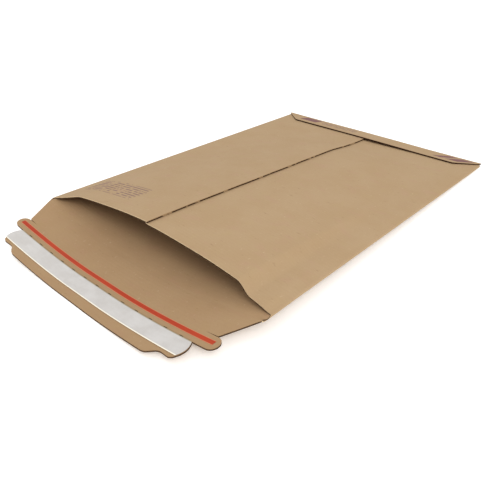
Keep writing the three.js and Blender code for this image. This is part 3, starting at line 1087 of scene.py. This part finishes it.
def print_field(graph, plan, box, slant):
    """A plain field of ink, its ends slanted, worn thin in places."""
    u, v = graph.split(plan)
    x0, x1, y0, y1 = (value * MM for value in box)
    leaned = graph.math("SUBTRACT", u, graph.math("MULTIPLY", v, slant))
    middle = slant * (y0 + y1) / 2
    area = ink_area(graph, leaned, v, x0 - middle, x1 - middle, y0, y1)
    worn = graph.ramp(graph.noise(plan, *WEAR_NOISE), *WEAR_RANGE, WORN_SHARE, 1.0)
    return graph.math("MULTIPLY", area, graph.math("MULTIPLY", worn, FIELD_WEIGHT))


def outer_kraft():
    graph = Graph("kraft_outer")
    plan = graph.uv("plan")
    colour = kraft_colour(graph, plan, OUTER_TONES)
    block = print_rows(graph, plan, PRINT_BLOCK, PRINT_PITCH)
    return finish_kraft(graph, plan, graph.mix(block, colour, INK))


def closing_kraft():
    graph = Graph("kraft_closing_flap")
    plan = graph.uv("plan")
    colour = kraft_colour(graph, plan, OUTER_TONES)
    for box, slant in INK_FIELDS:
        colour = graph.mix(print_field(graph, plan, box, slant), colour, PURPLE_INK)
    block = print_rows(graph, plan, CLOSING_PRINT, CLOSING_PRINT_PITCH)
    return finish_kraft(graph, plan, graph.mix(block, colour, INK))


def inner_kraft():
    graph = Graph("kraft_inner")
    plan = graph.uv("plan")
    return finish_kraft(graph, plan, kraft_colour(graph, plan, INNER_TONES))


def flap_kraft():
    """The closure flap's face, with painted shade in the cuts of the tear line."""
    graph = Graph("kraft_flap")
    plan = graph.uv("plan")
    colour = kraft_colour(graph, plan, INNER_TONES)
    u, v = graph.split(plan)
    off_line = graph.math("ABSOLUTE", graph.math("ADD", v, TEAR_LINE_Y * MM))
    inner, outer = (width * MM for width in DASH_HALF_WIDTH)
    on_line = graph.ramp(off_line, inner, outer, 1.0, 0.0)
    turns = graph.math("ADD", graph.math("DIVIDE", u, NICK_PITCH * MM), 0.5)
    off_nick = graph.math("ABSOLUTE", graph.math("SUBTRACT", graph.math("FRACT", turns), 0.5))
    inner, outer = (share * NICK_LENGTH / NICK_PITCH for share in DASH_END)
    in_nick = graph.ramp(off_nick, inner, outer, 1.0, DASH_REST)
    band_end = (BAND_HALF - NICK_LENGTH / 2) * MM
    on_band = graph.ramp(graph.math("ABSOLUTE", u), band_end - DASH_FADE * MM, band_end, 1.0, 0.0)
    # Painted shade: dark dashes at the cuts, fainter between them
    pressed = graph.math("MULTIPLY", graph.math("MULTIPLY", on_line, in_nick), on_band)
    return finish_kraft(graph, plan, graph.mix(pressed, colour, TEAR_CUT_SHADE))


def edge_material(name, top_share, liner, medium, gap, across=False, has_contacts=False):
    """A cut edge, with its light and shade painted on: the upper liner's tone, a painted highlight
    on the mouth, and painted shade on the medium, the lower liner and the flute gaps.

    Contacts are places where the edge is pressed onto the board under it and shows no painted shadow
    line.
    """
    graph = Graph(name)
    section = graph.uv("section")
    along, depth = graph.split(section)
    plan = graph.uv("plan")
    wobble = graph.noise(plan, *WOBBLE_NOISE)
    phase = graph.math("MULTIPLY", along, 2 * math.pi / (FLUTE_PITCH * MM))
    wave = graph.math("MULTIPLY", graph.math("SINE", phase), WAVE_HEIGHT)
    middle = graph.math("ADD", graph.math("MULTIPLY", wobble, WAVE_WOBBLE), WAVE_MIDDLE)
    off_wave = graph.math("ABSOLUTE", graph.math("SUBTRACT", depth, graph.math("ADD", wave, middle)))
    width = MEDIUM_ACROSS if across else MEDIUM_ALONG
    inner, outer = width * (1 - MEDIUM_SOFT), width * (1 + MEDIUM_SOFT)
    # Painted shadow in the flute gaps between the medium's waves
    colour = graph.mix(graph.ramp(off_wave, inner, outer, 1.0, 0.0), gap, medium)
    ragged = graph.math("ADD", depth, graph.vary(wobble, -LINER_RAGGED, LINER_RAGGED))
    # Painted shade on the lower liner
    colour = graph.mix(graph.ramp(ragged, *LOWER_LINER), colour, medium)
    on_top = graph.ramp(ragged, top_share - LINER_SOFT, top_share + LINER_SOFT, 1.0, 0.0)
    # The upper liner's tone, a painted highlight on the mouth's edge
    colour = graph.mix(on_top, colour, liner)
    speckle = graph.ramp(graph.noise(plan, *SPECKLE_NOISE), *SPECKLE_RANGE, 0.0, SPECKLE_STRENGTH)
    colour = graph.mix(speckle, colour, FIBRE_DARK)
    # Where the lap touches, the painted shadow line breaks and the liner's tone shows
    if has_contacts:
        spot = graph.add("ShaderNodeCombineXYZ", {"X": along}).outputs[0]
        touching = graph.noise(spot, *CONTACT_NOISE)
        pinched = graph.ramp(touching, *CONTACT_RANGE, 0.0, CONTACT_STRENGTH)
        colour = graph.mix(pinched, colour, liner)
    relief = graph.bump(wobble, *EDGE_RELIEF)
    return graph.surface(colour, graph.vary(wobble, *EDGE_ROUGHNESS), relief, EDGE_SPECULAR)


def tape_material():
    graph = Graph("red_film")
    plan = graph.uv("plan")
    _, v = graph.split(plan)
    lines = graph.noise(plan, *TAPE_LINE_NOISE)
    clouds = graph.noise(plan, *TAPE_CLOUD_NOISE)
    colour = graph.mix(graph.vary(clouds), TAPE_BASE, TAPE_LIGHT)
    lined = graph.ramp(lines, *TAPE_LINE_RANGE, 0.0, TAPE_LINE_STRENGTH)
    colour = graph.mix(lined, colour, TAPE_LINES)
    off_middle = graph.math("ABSOLUTE", graph.math("ADD", v, TAPE_Y * MM))
    inner, outer = (distance * MM for distance in TAPE_RIM_START)
    colour = graph.mix(graph.ramp(off_middle, inner, outer), colour, TAPE_RIM)
    relief = graph.bump(lines, *TAPE_RELIEF)
    return graph.surface(colour, graph.vary(clouds, *TAPE_ROUGHNESS), relief, TAPE_SPECULAR)


def liner_material():
    graph = Graph("release_paper")
    plan = graph.uv("plan")
    _, v = graph.split(plan)
    outward = graph.math("MULTIPLY", v, -1.0)
    clouds = graph.noise(plan, *LINER_CLOUD_NOISE)
    streaks = graph.noise(plan, *STREAK_NOISE)
    colour = graph.mix(graph.vary(clouds), LINER_BASE, LINER_LIGHT)
    streaked = graph.ramp(streaks, *STREAK_RANGE, 0.0, STREAK_STRENGTH)
    colour = graph.mix(streaked, colour, LINER_STREAKS)
    near_edge, far_edge = LINER_START_Y, LINER_START_Y + LINER_WIDTH
    inner, outer = ((far_edge - width) * MM for width in FAR_HIGHLIGHT_WIDTH)
    # Painted highlight along the far edge
    colour = graph.mix(graph.ramp(outward, inner, outer), colour, LINER_FAR_HIGHLIGHT)
    inner, outer = ((near_edge + width) * MM for width in NEAR_SHADE_WIDTH)
    # Painted shade line along the near edge
    near_edge_shade = graph.ramp(outward, inner, outer, NEAR_SHADE_STRENGTH, 0.0)
    colour = graph.mix(near_edge_shade, colour, LINER_NEAR_SHADE)
    relief = graph.bump(clouds, *LINER_RELIEF)
    return graph.surface(colour, graph.vary(streaks, *LINER_ROUGHNESS), relief)


def glue_material(name, low, high, roughness):
    graph = Graph(name)
    spot = graph.add("ShaderNodeTexCoord").outputs["Object"]
    clouds = graph.noise(spot, *GLUE_NOISE)
    colour = graph.mix(graph.vary(clouds), low, high)
    gloss = graph.vary(clouds, roughness, roughness + GLUE_ROUGHNESS_RANGE)
    return graph.surface(colour, gloss, graph.bump(clouds, *GLUE_RELIEF))


def floor_material():
    graph = Graph("pale_floor")
    spot = graph.add("ShaderNodeTexCoord").outputs["Object"]
    clouds = graph.noise(spot, *FLOOR_NOISE)
    graph.feed(graph.shader.inputs["Base Color"], graph.mix(graph.vary(clouds), *FLOOR_TONES))
    graph.shader.inputs["Roughness"].default_value = FLOOR_ROUGHNESS
    graph.shader.inputs["Emission Color"].default_value = (1.0, 1.0, 1.0, 1.0)
    graph.shader.inputs["Emission Strength"].default_value = FLOOR_GLOW
    graph.shader.inputs["Specular IOR Level"].default_value = FLOOR_SPECULAR
    return graph.material


# Pieces


def dress_node(name, material):
    """Puts a material on a solid that is shown as it is."""
    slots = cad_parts[name].data.materials
    slots.clear()
    slots.append(material)


outside = outer_kraft()
inside_face = inner_kraft()
flap_inside = flap_kraft()
mouth_edge = edge_material("edge_of_mouth", *MOUTH_EDGE_LIGHT_AND_SHADE)
seam_edge = edge_material("edge_of_seam", *SEAM_EDGE_SHADOW, across=True, has_contacts=True)
flap_edge = edge_material("edge_of_flap", *FLAP_EDGE_SHADE)
flap_open_edge = edge_material("edge_of_flap_across", *FLAP_EDGE_SHADE, across=True)
# The closing flap's edges, darkened as painted shadow
shadowed_closing_edge = edge_material("edge_closing_flap", *CLOSING_EDGE_SHADOW)
shadowed_closing_edge_ends = edge_material("edge_closing_flap_ends", *CLOSING_EDGE_SHADOW, across=True)

pouch_board = make_pouch_ribbon([outside, inside_face, mouth_edge, seam_edge])
closing_flap = make_closing_flap([closing_kraft(), inside_face, shadowed_closing_edge, shadowed_closing_edge_ends])
for piece in (pouch_board, closing_flap):
    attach(piece, "pouch")
    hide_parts("mailer_pouch")

flap_board = make_flap_layer("closure_board", flap_outline(), nick_outlines(), FLAP_GRID, 0, -BOARD,
                             [flap_inside, outside, flap_edge, flap_open_edge], grooved=True)
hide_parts("closure_flap")

tape_film = make_flap_layer("tape_film", tape_outline(), [], LAYER_GRID,
                            LAYER_GAP + TAPE_THICKNESS, LAYER_GAP, [tape_material()] * 4)
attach(tape_film, "flap")
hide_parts("tear_tape")

liner_low = 2 * LAYER_GAP + ADHESIVE_THICKNESS
liner_paper = make_flap_layer("liner_paper", liner_outline(), [], LAYER_GRID,
                              liner_low + LINER_THICKNESS, liner_low, [liner_material()] * 4)
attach(liner_paper, "flap")
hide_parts("release_liner")

dress_node("adhesive_strip", glue_material("clear_adhesive", *CLEAR_ADHESIVE))
pale_glue = glue_material("dried_glue", *DRIED_GLUE)
seam_glue = make_seam_glue(pale_glue)
end_glue = make_end_glue(pale_glue)
for piece, node in ((seam_glue, "seam_glue_line"), (end_glue, "end_glue_line")):
    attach(piece, "pouch")
    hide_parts(node)

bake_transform(flap_board)

# Floor, light and camera


def make_floor():
    half = FLOOR_SIZE / 2
    mesh = bpy.data.meshes.new("floor")
    square = ((-half, -half), (half, -half), (half, half), (-half, half))
    corners = [(x, y, -FLOOR_DROP) for x, y in square]
    mesh.from_pydata(corners, [], [(0, 1, 2, 3)])
    mesh.materials.append(floor_material())
    floor = bpy.data.objects.new("floor", mesh)
    bpy.context.scene.collection.objects.link(floor)


def aim(thing, target):
    direction = Vector(target) - thing.location
    thing.rotation_euler = direction.to_track_quat("-Z", "Y").to_euler()


def add_light(name, spot, size, energy, warmth):
    data = bpy.data.lights.new(name, "AREA")
    data.shape = "DISK"
    data.size = size
    data.energy = energy
    data.color = warmth
    light = bpy.data.objects.new(name, data)
    light.location = spot
    bpy.context.scene.collection.objects.link(light)
    aim(light, (0, 0, 0))


def make_world():
    world = bpy.data.worlds.new("studio")
    world.use_nodes = True
    background = world.node_tree.nodes["Background"]
    background.inputs["Color"].default_value = (1.0, 1.0, 1.0, 1.0)
    background.inputs["Strength"].default_value = WORLD_STRENGTH
    bpy.context.scene.world = world


def make_camera():
    data = bpy.data.cameras.new("camera")
    data.sensor_fit = "HORIZONTAL"
    data.sensor_width = SENSOR_WIDTH
    data.lens = FOCAL_PIXELS / PHOTO_WIDTH * SENSOR_WIDTH
    data.clip_start = CLIP_START
    data.clip_end = CLIP_END
    camera = bpy.data.objects.new("camera", data)
    turn = Matrix.Rotation(math.radians(CAMERA_TURN_DEG), 4, "Z")
    tilt = Matrix.Rotation(math.radians(90 - CAMERA_DOWN_DEG), 4, "X")
    roll = Matrix.Rotation(math.radians(CAMERA_ROLL_DEG), 4, "Z")
    camera.matrix_world = Matrix.Translation(Vector(CAMERA_PLACE) * MM) @ turn @ tilt @ roll
    bpy.context.scene.collection.objects.link(camera)
    bpy.context.scene.camera = camera


make_floor()
make_world()
for light_name, settings in LIGHTS.items():
    add_light(light_name, **settings)
make_camera()
bpy.context.scene.view_settings.view_transform = "Standard"
